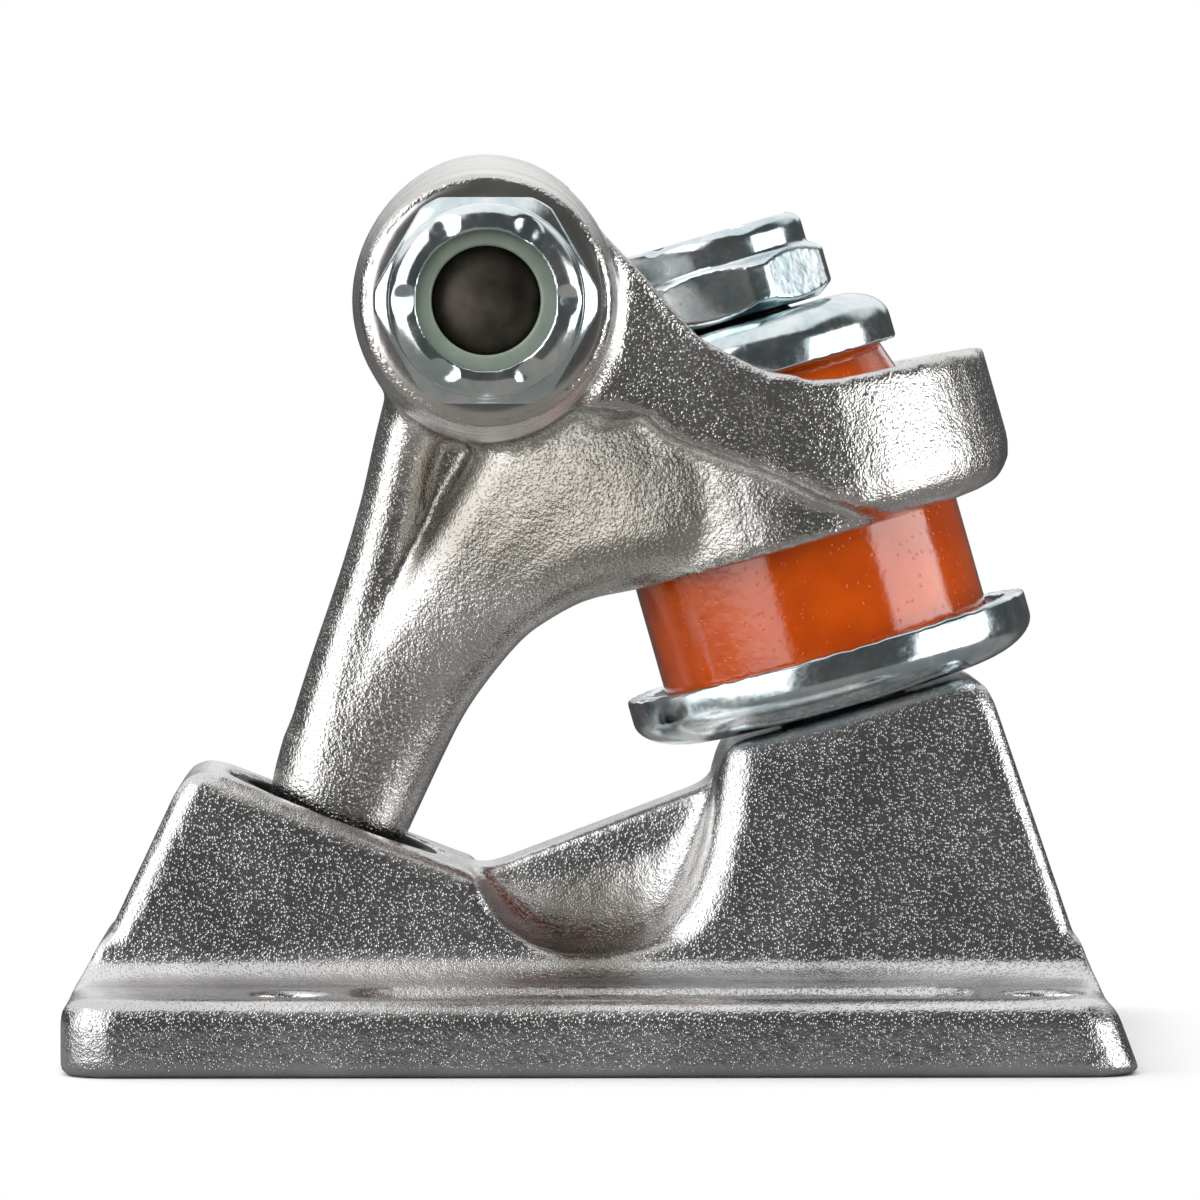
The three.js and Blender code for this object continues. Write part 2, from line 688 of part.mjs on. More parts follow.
function makeCrossbar() {
  const end = hangerLength / 2;
  const ring = ( y, inset = 0 ) => {
    const share = ( y / end ) ** 2;
    const radius = THREE.MathUtils.lerp( crossbarMidRadius, crossbarEndRadius, Math.sqrt( share ) ) - inset;
    const points = [];
    for ( let i = 0; i < roundSteps; i ++ ) {
      const angle = 2 * Math.PI * i / roundSteps;
      const rise = Math.sin( angle );
      const bulge = ( rise > 0 ? crossbarTopBulge : crossbarUnderBulge ) * ( 1 - share ) * Math.abs( rise );
      points.push( new THREE.Vector3(
        radius * Math.cos( angle ) - axleSetback,
        y,
        axleHeight + ( radius + bulge ) * rise,
      ) );
    }
    return points;
  };
  const rings = [ ring( - end, crossbarEndChamfer ) ];
  for ( let i = 0; i <= crossbarStations; i ++ ) {
    rings.push( ring( ( end - crossbarEndChamfer ) * ( 2 * i / crossbarStations - 1 ) ) );
  }
  rings.push( ring( end, crossbarEndChamfer ) );
  return closedSolid( loft( rings ) );
}

// The ball and neck below the stem.
function makeBall() {
  const ball = quarter( [ 0, 0 ], pivotBallRadius, 270, 2 * cornerSteps );
  return turned( [
    ...ball,
    [ pivotNeckRadius, pivotBallRadius / 2 ],
    [ stemRadius, pivotMouthRise ],
    [ 0, pivotMouthRise ],
  ] );
}

// The round wall that holds both bushings, lower in front than at the sides.
function makeRingWall() {
  const high = THREE.MathUtils.lerp( ringLevel, axlePoint.z, ringBackShare );
  const wall = turned( [
    [ 0, ringLevel ],
    ...quarter( [ ringRadius - ringEdge, ringLevel + ringEdge ], ringEdge, 270 ),
    [ ringRadius, high ],
    [ 0, high ],
  ] );
  const reach = ringRadius + overrun;
  const low = ringLevel - overrun;
  const top = acrossY( [
    [ - reach, low ],
    [ reach, low ],
    [ reach, ringFrontTop ],
    [ reach / 3, ringSideTop ],
    [ - reach, high ],
  ], 2 * reach );
  const undercut = armUndersideShares.slice( 0, reliefCount ).map( ( [ back, up ] ) => inArm( back, up ) );
  const relief = acrossY( [
    ...undercut,
    [ - reach, undercut.at( - 1 )[ 1 ] ],
    [ - reach, low ],
    [ undercut[ 0 ][ 0 ], low ],
  ], 2 * reach );
  const core = closedSolid( cylinder( ringLowerRadius, low - overrun, high + overrun ) );
  const outside = closedSolid( relief ).subtract( core );
  return closedSolid( wall ).intersect( closedSolid( top ) ).subtract( outside );
}

// The arms rise from the ring's sides and spread out to the crossbar.
function makeArms() {
  const side = [ ...armUndersideShares.slice( 1 ), ...armTopShares ].map( ( [ back, up ] ) => inArm( back, up ) );
  const front = ringEdge;
  const frontHalf = Math.sqrt( ringRadius ** 2 - front ** 2 );
  const plan = upZ( [
    [ front, - frontHalf ],
    [ front, frontHalf ],
    [ - front, ringRadius ],
    [ axlePoint.x, armSpread ],
    [ axlePoint.x, - armSpread ],
    [ - front, - ringRadius ],
  ], ringLevel, axlePoint.z + crossbarMidRadius );
  return closedSolid( acrossY( side, 2 * armSpread + overrun ) ).intersect( closedSolid( plan ) );
}

// Shares of the height from the web to the ring's top, then of the way out to the front and to the sides.
const pocketFlareShares = [ [ 0.35, 0, 0 ], [ 0.68, 0.36, 0.4 ] ];

// The pocket over the web. It opens sideways so that the hanger can tilt past the washer and nut.
function makePocket() {
  const { lerp } = THREE.MathUtils;
  const ring = ( level, front, back, side ) => {
    const points = [];
    for ( let i = 0; i < roundSteps; i ++ ) {
      const angle = 2 * Math.PI * i / roundSteps;
      const along = Math.cos( angle );
      const reach = along > 0 ? front : back;
      points.push( new THREE.Vector3( reach * along, side * Math.sin( angle ), level ) );
    }
    return points;
  };
  const flare = ( [ up, front, side ] ) => ring(
    lerp( webTop, ringSideTop, up ),
    lerp( pocketRadius, pocketFlare, front ),
    pocketRadius,
    lerp( pocketRadius, pocketSide, side ),
  );
  const back = pocketRadius + gap;
  return closedSolid( loft( [
    ring( webTop, pocketRadius, pocketRadius, pocketRadius ),
    ...pocketFlareShares.map( flare ),
    ring( ringSideTop, pocketFlare, back, pocketSide ),
    ring( topWasherTop - gap, pocketFlare + overrun, back, pocketSide ),
    ring( topWasherTop, pocketFlare + overrun, nutPocketReach, pocketSide ),
    ring( pocketTop, pocketFlare + overrun, nutPocketReach, pocketSide ),
  ] ), kingpinFrame );
}

function makeHanger() {
  const core = coreShares.map( ( [ along, up ] ) => inStem( along, up ) ).map( ( { x, z } ) => [ x, z ] );
  const recess = cylinder( bottomBushingRadius + gap, bottomBushingLevel, webLevel );
  const hole = cylinder( webHoleRadius, webLevel - overrun, webTop + overrun );
  const axleBore = cylinder( axleRadius + gap, - hangerLength, hangerLength, smallRoundSteps );
  let body = makeCrossbar();
  body = body.add( closedSolid( loft( stemSections( webSectionShares, webStations ) ) ) );
  body = body.add( closedSolid( loft( stemSections( ribSectionShares, ribStations ) ) ) );
  body = body.add( closedSolid( acrossY( core, coreWidth ) ) );
  body = body.add( closedSolid( makeBall(), pivotFrame ) );
  body = body.add( makeRingWall().transform( kingpinFrame.elements ) );
  body = body.add( makeArms().transform( kingpinFrame.elements ) );
  body = body.subtract( makePocket() );
  body = body.subtract( closedSolid( recess, kingpinFrame ) );
  body = body.subtract( closedSolid( hole, kingpinFrame ) );
  body = body.subtract( closedSolid( axleBore, axleFrame ) );
  return geometryOf( body );
}

// Assembly

const castAluminium = { color: 0x8f9092, metalness: 1, roughness: 0.45 };
const zincPlate = { color: 0xc9d2d4, metalness: 1, roughness: 0.22 };
const axleSteel = { color: 0x77756f, metalness: 1, roughness: 0.5 };
const blackOxide = { color: 0x2c2c2e, metalness: 0.8, roughness: 0.5 };
const orangeUrethane = { color: 0xc9520a, metalness: 0, roughness: 0.3 };
const darkUrethane = { color: 0x1d1c1c, metalness: 0, roughness: 0.6 };
const paleNylon = { color: 0xb9c4b4, metalness: 0, roughness: 0.4 };

const truck = new THREE.Group();

function place( parent, name, geometry, finish, up = 0 ) {
  geometry.computeVertexNormals();
  const mesh = new THREE.Mesh( geometry, new THREE.MeshStandardMaterial( { ...finish, flatShading: true } ) );
  mesh.name = name;
  mesh.position.z = up;
  parent.add( mesh );
  return mesh;
}

function groupAt( matrix ) {
  const group = new THREE.Group();
  matrix.decompose( group.position, group.quaternion, group.scale );
  truck.add( group );
  return group;
}

place( truck, 'baseplate', makeBaseplate(), castAluminium );
place( groupAt( pivotFrame ), 'pivot_cup', makePivotCup(), darkUrethane );

const stack = groupAt( kingpinFrame );
place( stack, 'kingpin', makeKingpin(), blackOxide );
place( stack, 'bottom_washer', makeCupWasher( {
  radius: bottomWasherRadius, depth: bottomWasherDepth, rim: bottomWasherRim,
} ), zincPlate );
place( stack, 'bottom_bushing', makeBushing( {
  low: bottomBushingRadius, high: bottomBushingRadius, height: bottomBushingHeight,
} ), orangeUrethane, bottomBushingLevel );
place( stack, 'top_bushing', makeBushing( {
  low: topBushingBottomRadius, high: topBushingTopRadius, height: topBushingHeight,
} ), orangeUrethane, topBushingLevel );
const topWasher = place( stack, 'top_washer', makeCupWasher( {
  radius: topWasherRadius, depth: topWasherDepth, rim: topWasherRim,
} ), zincPlate, topWasherTop - topWasherDepth );
topWasher.rotation.x = Math.PI;

const kingpinBore = kingpinRadius + boreGap;
const kingpinInsertRadius = kingpinBore + kingpinInsertWall;
place( stack, 'kingpin_nut', makeLockNut( {
  across: kingpinNutAcross,
  hexHeight: kingpinNutHexHeight,
  height: kingpinNutHeight,
  collar: kingpinInsertRadius + gap + kingpinNutCollarWall,
  bore: kingpinBore,
  insert: kingpinInsertRadius,
  insertHeight: kingpinInsertHeight,
  turn: radians( kingpinNutTurn ),
} ), zincPlate, kingpinNutLevel );
const kingpinInsert = makeRing( kingpinBore, kingpinInsertRadius, kingpinInsertHeight );
place( stack, 'kingpin_nut_insert', kingpinInsert, paleNylon, kingpinNutTop - gap - kingpinInsertHeight );

place( truck, 'hanger', makeHanger(), castAluminium );

[ [ 'left', upright ], [ 'right', - upright ] ].forEach( ( [ side, tilt ] ) => {
  const end = new THREE.Matrix4().makeRotationX( tilt ).setPosition( - axleSetback, 0, axleHeight );
  const group = groupAt( end );
  const bore = axleRadius + gap;
  const nutTop = axleLength / 2 + axleNutProud;
  const nutLevel = nutTop - axleNutHeight;
  const speedRing = () => makeRing( bore, bore + speedRingWall, speedRingThickness );
  place( group, `speed_ring_${ side }_inner`, speedRing(), zincPlate, hangerLength / 2 + gap );
  place( group, `speed_ring_${ side }_outer`, speedRing(), zincPlate, nutLevel - gap - speedRingThickness );
  place( group, `axle_nut_${ side }`, makeLockNut( {
    across: axleNutAcross,
    hexHeight: axleNutHexHeight,
    height: axleNutHeight,
    collar: axleNutInsertRadius + gap + axleNutCollarWall,
    bore,
    insert: axleNutInsertRadius,
    insertHeight: axleNutInsertHeight,
    turn: radians( axleNutTurn ),
  } ), zincPlate, nutLevel );
  const insert = makeRing( axleNutInsertHole, axleNutInsertRadius, axleNutInsertHeight );
  place( group, `axle_nut_insert_${ side }`, insert, paleNylon, nutTop - gap / 2 - axleNutInsertHeight );
} );

const axleTip = axleLength / 2;
const axleProfile = [
  [ 0, - axleTip ],
  [ axleRadius - axleTipChamfer, - axleTip ],
  [ axleRadius, axleTipChamfer - axleTip ],
  [ axleRadius, axleTip - axleTipChamfer ],
  [ axleRadius - axleTipChamfer, axleTip ],
  [ 0, axleTip ],
];
place( groupAt( axleFrame ), 'axle', turned( axleProfile, smallRoundSteps ), axleSteel );

export default truck;
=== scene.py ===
import math

import bpy
from mathutils import Matrix, Vector


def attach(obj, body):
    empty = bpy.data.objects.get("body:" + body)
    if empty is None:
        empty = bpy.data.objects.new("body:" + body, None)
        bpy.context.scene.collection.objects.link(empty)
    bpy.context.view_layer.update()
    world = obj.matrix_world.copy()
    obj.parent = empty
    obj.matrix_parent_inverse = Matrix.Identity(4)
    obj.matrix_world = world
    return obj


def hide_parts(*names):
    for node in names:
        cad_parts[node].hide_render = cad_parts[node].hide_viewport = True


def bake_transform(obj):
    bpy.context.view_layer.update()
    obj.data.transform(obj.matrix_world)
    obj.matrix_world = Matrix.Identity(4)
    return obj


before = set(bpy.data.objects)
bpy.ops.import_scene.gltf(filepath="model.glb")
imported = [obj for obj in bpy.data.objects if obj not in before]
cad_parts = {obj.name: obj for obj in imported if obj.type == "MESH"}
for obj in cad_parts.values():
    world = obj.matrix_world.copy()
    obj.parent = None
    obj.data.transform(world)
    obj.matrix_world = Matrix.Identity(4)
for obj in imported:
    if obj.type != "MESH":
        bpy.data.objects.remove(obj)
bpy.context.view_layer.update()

mm = 0.001


# modelling helpers, all sizes in millimetres


def pick(obj):
    bpy.ops.object.select_all(action="DESELECT")
    obj.select_set(True)
    bpy.context.view_layer.objects.active = obj


def editAll(obj):
    pick(obj)
    bpy.ops.object.mode_set(mode="EDIT")
    bpy.ops.mesh.select_all(action="SELECT")


def objectMode():
    bpy.ops.object.mode_set(mode="OBJECT")


def modify(obj, kind, **values):
    pick(obj)
    modifier = obj.modifiers.new(kind.title(), kind)
    for key, value in values.items():
        setattr(modifier, key, value)
    bpy.ops.object.modifier_apply(modifier=modifier.name)


def spun(name, profile, steps=96):  # a profile of [radius, height] points, turned about Z
    bpy.ops.object.select_all(action="DESELECT")
    bpy.ops.mesh.primitive_plane_add(size=mm)
    obj = bpy.context.object
    obj.name = name
    editAll(obj)
    bpy.ops.mesh.merge(type="CENTER")
    bpy.ops.transform.translate(value=(profile[0][0] * mm, 0, profile[0][1] * mm))
    for (r0, z0), (r1, z1) in zip(profile, profile[1:]):
        step = {"value": ((r1 - r0) * mm, 0, (z1 - z0) * mm)}
        bpy.ops.mesh.extrude_vertices_move(TRANSFORM_OT_translate=step)
    bpy.ops.mesh.select_all(action="SELECT")
    bpy.ops.mesh.spin(steps=steps, angle=2 * math.pi, center=(0, 0, 0), axis=(0, 0, 1))
    bpy.ops.mesh.select_all(action="SELECT")
    bpy.ops.mesh.remove_doubles(threshold=0.002 * mm)
    bpy.ops.mesh.normals_make_consistent(inside=False)
    objectMode()
    return obj


def arc(r, z, size, start, end, steps):  # points of a round in a profile
    points = []
    for i in range(steps + 1):
        angle = math.radians(start + (end - start) * i / steps)
        points.append((r + size * math.cos(angle), z + size * math.sin(angle)))
    return points


def hexPrism(name, across, low, high, turn):
    corner = across / 2 / math.cos(math.pi / 6)
    bpy.ops.object.select_all(action="DESELECT")
    bpy.ops.mesh.primitive_cylinder_add(
        vertices=6, radius=corner * mm, depth=(high - low) * mm,
        location=(0, 0, (low + high) / 2 * mm), rotation=(0, 0, math.radians(turn)),
    )
    obj = bpy.context.object
    obj.name = name
    pick(obj)
    bpy.ops.object.transform_apply(location=True, rotation=True, scale=True)
    return obj


def combine(obj, other, operation):
    modify(obj, "BOOLEAN", operation=operation, solver="EXACT", object=other)
    bpy.data.objects.remove(other)


def shade(obj, sharpFrom=40):  # smooth shading, apart from edges sharper than this many degrees
    pick(obj)
    bpy.ops.object.shade_smooth_by_angle(angle=math.radians(sharpFrom))


def smoothEdges(obj, width, angle=28, segments=3):
    modify(
        obj, "BEVEL", width=width * mm, segments=segments, limit_method="ANGLE",
        angle_limit=math.radians(angle), harden_normals=False,
    )
    shade(obj)


def soften(obj, voxel, rounding):  # small rounds on every edge
    modify(obj, "REMESH", mode="VOXEL", voxel_size=voxel * mm, adaptivity=0)
    modify(obj, "SMOOTH", factor=0.5, iterations=rounding)
    pick(obj)
    bpy.ops.object.shade_smooth()


def moveInto(obj, matrix):
    obj.matrix_world = matrix
    pick(obj)
    bpy.ops.object.transform_apply(location=True, rotation=True, scale=True)


def finished(obj, node, body, slot, finish=None):
    obj.data.materials.clear()
    obj.data.materials.append(finish or finishes[slot])
    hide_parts(node)
    if body:
        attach(obj, body)


def solidCopy(name, node):  # the solid's own shape, as a mesh that can be worked on
    obj = bpy.data.objects.new(name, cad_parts[node].data.copy())
    bpy.context.scene.collection.objects.link(obj)
    editAll(obj)
    bpy.ops.mesh.remove_doubles(threshold=0.0005 * mm)
    objectMode()
    return obj


kingpinSeat = {"x": 16.9, "z": 29.6, "tilt": -16}
pivotBall = {"x": -21.6, "z": 10.6, "tilt": 21}
axleCentre = {"x": -8.1, "z": 55, "tilt": 0}


def axisAt(x, z, tilt):
    return Matrix.Translation((x * mm, 0, z * mm)) @ Matrix.Rotation(math.radians(tilt), 4, "Y")


kingpinAxis = axisAt(**kingpinSeat)
pivotAxis = axisAt(**pivotBall)


def up(height):
    return Matrix.Translation((0, 0, height * mm))


def axleEnd(side):
    return axisAt(**axleCentre) @ Matrix.Rotation(math.radians(90 * side), 4, "X")


# finishes


class Wire:  # a socket that takes part in sums
    def __init__(self, nodes, socket):
        self.nodes = nodes
        self.socket = socket

    def maths(self, operation, *values):
        settings = {"operation": operation}
        return self.nodes.add("ShaderNodeMath", settings, dict(enumerate(values)))

    def __add__(self, other):
        return self.maths("ADD", self, other)

    def __radd__(self, other):
        return self.maths("ADD", other, self)

    def __sub__(self, other):
        return self.maths("SUBTRACT", self, other)

    def __rsub__(self, other):
        return self.maths("SUBTRACT", other, self)

    def __mul__(self, other):
        return self.maths("MULTIPLY", self, other)

    def __rmul__(self, other):
        return self.maths("MULTIPLY", other, self)


class Nodes:
    def __init__(self, tree):
        self.tree = tree

    def add(self, kind, settings, sockets, output=0):
        made = self.tree.nodes.new(kind)
        for key, value in settings.items():
            setattr(made, key, value)
        for key, value in sockets.items():
            if isinstance(value, Wire):
                self.tree.links.new(value.socket, made.inputs[key])
            else:
                made.inputs[key].default_value = value
        return Wire(self, made.outputs[output])

    def step(self, value, low, high, start=0, end=1):  # smooth change of value from low to high
        return self.add(
            "ShaderNodeMapRange", {"interpolation_type": "SMOOTHSTEP"},
            {0: value, 1: low, 2: high, 3: start, 4: end},
        )

    def blend(self, factor, first, second, kind="MIX"):
        settings = {"data_type": "RGBA", "blend_type": kind}
        colours = {0: factor, 6: first, 7: second}
        return self.add("ShaderNodeMix", settings, colours, 2)


class Finish(Nodes):
    def __init__(self, name, **constants):
        self.material = bpy.data.materials.new(name)
        self.material.use_nodes = True
        super().__init__(self.material.node_tree)
        self.surface = self.tree.nodes["Principled BSDF"]
        for key, value in constants.items():
            self.surface.inputs[key.replace("_", " ")].default_value = value
        place = self.add("ShaderNodeTexCoord", {}, {}, "Object")
        self.place = self.add("ShaderNodeVectorMath", {"operation": "SCALE"}, {0: place, 3: 1 / mm})

    def noise(self, size, detail=2, rough=0.5, place=None):  # size of the marks in millimetres
        values = {"Vector": place or self.place, "Scale": 1 / size, "Detail": detail, "Roughness": rough}
        return self.add("ShaderNodeTexNoise", {}, values)

    def cells(self, size):
        return self.add("ShaderNodeTexVoronoi", {}, {"Vector": self.place, "Scale": 1 / size})

    def stretched(self, x, y, z):
        return self.add("ShaderNodeMapping", {}, {"Vector": self.place, "Scale": (x, y, z)})

    def use(self, **inputs):
        for key, value in inputs.items():
            self.tree.links.new(value.socket, self.surface.inputs[key.replace("_", " ")])
        return self.material

    def bump(self, height, depth, before=None):  # depth in millimetres
        values = {"Height": height, "Strength": 1, "Distance": depth * mm}
        if before:
            values["Normal"] = before
        return self.add("ShaderNodeBump", {}, values)


casts = {  # sizes and depths of the marks, and the centre and reach of the painted shade in the hollows, in millimetres
    "baseplate": {
        "grain": 0.17, "grainDepth": 0.03, "pit": 0.21, "pitDepth": 0.021, "dull": 0.16,
        "tint": (1.0, 0.99, 0.985), "shadeCentre": (0, 0, 9), "reach": (5, 30, 5),
    },
    "hanger": {
        "grain": 0.25, "grainDepth": 0.06, "pit": 0.24, "pitDepth": 0.02, "dull": 0.2,
        "tint": (1.0, 0.98, 0.955), "shadeCentre": (-1, 0, 40), "reach": (17, 30, 9),
    },
}
castSkinAndShade = {  # what both castings share, with the tint of the painted shade; the hanger is turned smooth from 71.7 to its end faces
    "ripple": 1.3, "rippleDepth": 0.09, "lump": 5, "lumpDepth": 0.07, "patch": 8,
    "darkPatch": 0.60, "palePatch": 0.77, "shadeTint": (0.62, 0.60, 0.555, 1), "turnedFrom": 71.7,
}


def castAluminium(
    name, grain, grainDepth, pit, pitDepth, dull, tint, shadeCentre, reach,
    ripple, rippleDepth, lump, lumpDepth, patch, darkPatch, palePatch, shadeTint, turnedFrom,
):
    cast = Finish(name + "Cast", Metallic=1.0)
    across = cast.add("ShaderNodeSeparateXYZ", {}, {0: cast.place}, 1)
    asCast = 1 - cast.step(across.maths("ABSOLUTE", across), turnedFrom, turnedFrom + 0.2)
    marks = cast.noise(grain, 2, 0.5) * asCast
    pits = cast.step(cast.cells(pit) + cast.noise(pit, 2) * 0.5, 0.36, 0.7, 1, 0) * asCast
    ripples = cast.noise(ripple, 2, 0.6) * asCast
    lumps = cast.noise(lump, 1)
    patches = cast.step(cast.noise(patch, 3), 0.3, 0.7)
    dark = tuple(darkPatch * part for part in tint) + (1,)
    pale = tuple(palePatch * part for part in tint) + (1,)
    # painted shade: a darker, warmer colour with a little more roughness around a centre in each casting,
    # under the hanger on the baseplate and in the hanger's web
    away = cast.add("ShaderNodeVectorMath", {"operation": "SUBTRACT"}, {0: cast.place, 1: shadeCentre})
    away = cast.add("ShaderNodeVectorMath", {"operation": "DIVIDE"}, {0: away, 1: reach})
    away = cast.add("ShaderNodeVectorMath", {"operation": "LENGTH"}, {0: away}, 1)
    paintedShade = cast.step(away + patches * 0.2, 0.6, 1.2, 1, 0)
    colour = cast.blend(paintedShade, cast.blend(patches, dark, pale), shadeTint, "MULTIPLY")
    rough = dull + patches * 0.05 + pits * 0.05 + paintedShade * 0.05
    relief = cast.bump(lumps, lumpDepth)
    relief = cast.bump(ripples, rippleDepth, relief)
    relief = cast.bump(marks, grainDepth, relief)
    relief = cast.bump(1 - pits, pitDepth, relief)
    return cast.use(Base_Color=colour, Roughness=rough, Normal=relief)


looks = {  # the darkest and the palest patches, sizes and depths of the marks in millimetres
    "zinc_plate": {
        "dark": (0.52, 0.64, 0.68, 1), "pale": (0.82, 0.86, 0.87, 1), "patch": 3.5, "scuff": 0.5,
        "scuffDepth": 0.004, "ripple": 1.4, "rippleDepth": 0.02, "dull": 0.13,
    },
    "axle_steel": {
        "dark": (0.10, 0.085, 0.072, 1), "pale": (0.17, 0.15, 0.13, 1), "stain": 2.5, "turning": 1,
        "turningDepth": 0.008, "stretch": (0.3, 6, 0.3), "dull": 0.42,
    },
    "dark_steel": {
        "dark": (0.045, 0.045, 0.048, 1), "pale": (0.09, 0.088, 0.085, 1), "stain": 2, "grain": 0.6,
        "grainDepth": 0.01, "dull": 0.4,
    },
    "orange_urethane": {
        "dark": (0.60, 0.074, 0.0003, 1), "pale": (0.72, 0.102, 0.0006, 1), "cloud": 4, "pit": 0.7,
        "pitDepth": 0.03, "ripple": 0.9, "rippleDepth": 0.045, "dull": 0.09,
    },
    "dark_urethane": {
        "dark": (0.012, 0.011, 0.011, 1), "pale": (0.03, 0.028, 0.027, 1), "grain": 0.7,
        "grainDepth": 0.02, "dull": 0.5,
    },
    "pale_nylon": {
        "dark": (0.16, 0.20, 0.165, 1), "pale": (0.25, 0.295, 0.245, 1), "cloud": 1.5, "grain": 0.5,
        "grainDepth": 0.01, "dull": 0.32,
    },
}


def zincPlate(dark, pale, patch, scuff, scuffDepth, ripple, rippleDepth, dull):
    zinc = Finish("zincPlate", Metallic=1.0)
    patches = zinc.noise(patch, 3, 0.6)
    scuffs = zinc.noise(scuff, 4, 0.7)
    colour = zinc.blend(zinc.step(patches, 0.3, 0.7), dark, pale)
    rough = dull + zinc.step(scuffs, 0.4, 0.75) * 0.12 + zinc.step(patches, 0.45, 0.7) * 0.06
    relief = zinc.bump(zinc.noise(ripple, 2), rippleDepth)
    relief = zinc.bump(scuffs, scuffDepth, relief)
    return zinc.use(Base_Color=colour, Roughness=rough, Normal=relief)


def axleSteel(dark, pale, stain, turning, turningDepth, stretch, dull):
    steel = Finish("axleSteel", Metallic=1.0)
    rings = steel.noise(turning, 3, 0.6, steel.stretched(*stretch))
    stains = steel.noise(stain, 3, 0.6)
    colour = steel.blend(steel.step(stains, 0.35, 0.7), dark, pale)
    rough = dull + steel.step(stains, 0.3, 0.7) * 0.14
    return steel.use(Base_Color=colour, Roughness=rough, Normal=steel.bump(rings, turningDepth))


def darkSteel(dark, pale, stain, grain, grainDepth, dull):
    oxide = Finish("darkSteel", Metallic=0.85)
    stains = oxide.noise(stain, 4, 0.6)
    colour = oxide.blend(oxide.step(stains, 0.35, 0.7), dark, pale)
    rough = dull + oxide.step(stains, 0.3, 0.7) * 0.15
    relief = oxide.bump(oxide.noise(grain, 3), grainDepth)
    return oxide.use(Base_Color=colour, Roughness=rough, Normal=relief)


def orangeUrethane(dark, pale, cloud, pit, pitDepth, ripple, rippleDepth, dull):
    cast = Finish(
        "orangeUrethane", Subsurface_Weight=0.35, Subsurface_Radius=(1.0, 0.3, 0.05),
        Subsurface_Scale=3 * mm, Coat_Weight=0.8, Coat_Roughness=0.09, IOR=1.5,
    )
    clouds = cast.noise(cloud, 3, 0.55)
    pits = cast.step(cast.cells(pit), 0.08, 0.24)
    colour = cast.blend(cast.step(clouds, 0.3, 0.7), dark, pale)
    rough = dull + cast.step(clouds, 0.4, 0.7) * 0.05
    relief = cast.bump(cast.noise(ripple, 3), rippleDepth)
    relief = cast.bump(pits, pitDepth, relief)
    return cast.use(Base_Color=colour, Roughness=rough, Normal=relief)


def darkUrethane(dark, pale, grain, grainDepth, dull):
    cast = Finish("darkUrethane", IOR=1.35)
    grains = cast.noise(grain, 4, 0.6)
    colour = cast.blend(grains, dark, pale)
    rough = dull + grains * 0.2
    return cast.use(Base_Color=colour, Roughness=rough, Normal=cast.bump(grains, grainDepth))


def paleNylon(dark, pale, cloud, grain, grainDepth, dull):
    nylon = Finish(
        "paleNylon", Subsurface_Weight=0.4, Subsurface_Radius=(0.8, 1.0, 0.8), Subsurface_Scale=1.2 * mm,
    )
    clouds = nylon.noise(cloud, 3)
    colour = nylon.blend(clouds, dark, pale)
    rough = dull + clouds * 0.16
    relief = nylon.bump(nylon.noise(grain, 3), grainDepth)
    return nylon.use(Base_Color=colour, Roughness=rough, Normal=relief)


finishes = {
    "baseplate": castAluminium("baseplate", **casts["baseplate"], **castSkinAndShade),
    "hanger": castAluminium("hanger", **casts["hanger"], **castSkinAndShade),
    "zinc_plate": zincPlate(**looks["zinc_plate"]),
    "axle_steel": axleSteel(**looks["axle_steel"]),
    "dark_steel": darkSteel(**looks["dark_steel"]),
    "orange_urethane": orangeUrethane(**looks["orange_urethane"]),
    "dark_urethane": darkUrethane(**looks["dark_urethane"]),
    "pale_nylon": paleNylon(**looks["pale_nylon"]),
}
print("finishes made")


# castings: the solid's shape with the soft corners that the mould and the tumbling leave

castings = {
    "baseplate": {"body": "base", "voxel": 0.45, "rounding": 4},
    "hanger": {"body": "hanger", "voxel": 0.49, "rounding": 3},
}


def makeCasting(node, body, voxel, rounding):
    obj = solidCopy(node + "_casting", node)
    soften(obj, voxel, rounding)
    finished(obj, node, body, "cast_aluminium", finishes[node])
    return obj


for node, sizes in castings.items():
    made = makeCasting(node, **sizes)
    print(node, "cast with", len(made.data.polygons), "faces")


# pivot cup

pivotCup = {"radius": 8, "ball": 5.3, "floor": -6.9, "shoulder": 4, "top": 6.95, "mouth": 7, "lip": 0.2}


def makePivotCup(radius, ball, floor, shoulder, top, mouth, lip):
    profile = [(0, floor), (shoulder, floor), (radius, floor + shoulder), (radius, top - lip)]
    profile += arc(radius - lip, top - lip, lip, 0, 90, 4)
    profile += arc(mouth + lip, top - lip, lip, 90, 180, 4)
    profile += arc(0, 0, ball, 0, -90, 12)
    obj = spun("pivot_cup_urethane", profile, 96)
    shade(obj)
    moveInto(obj, pivotAxis)
    finished(obj, "pivot_cup", "base", "dark_urethane")


makePivotCup(**pivotCup)
print("pivot cup cast")


# cup washers

cupWashers = {
    "bottom_washer": {"radius": 15.2, "depth": 4.3, "rim": 1.6, "level": 0, "turned": False},
    "top_washer": {"radius": 11.3, "depth": 4.2, "rim": 1.0, "level": 20.4, "turned": True},
}


def roughenRim(obj, inside, edge):  # a stamped rim is a little ragged, never higher than its height
    wave, drop = 0.05, 0.04
    for vertex in obj.data.vertices:
        r = math.hypot(vertex.co.x, vertex.co.y) / mm
        angle = math.atan2(vertex.co.y, vertex.co.x)
        if vertex.co.z > -1.2 * edge * mm and r > inside - 0.1:
            ragged = math.sin(31 * angle) * math.sin(12 * angle + 1) + 0.6 * math.sin(53 * angle + 2)
            vertex.co.z += min(0, wave * ragged - drop) * mm


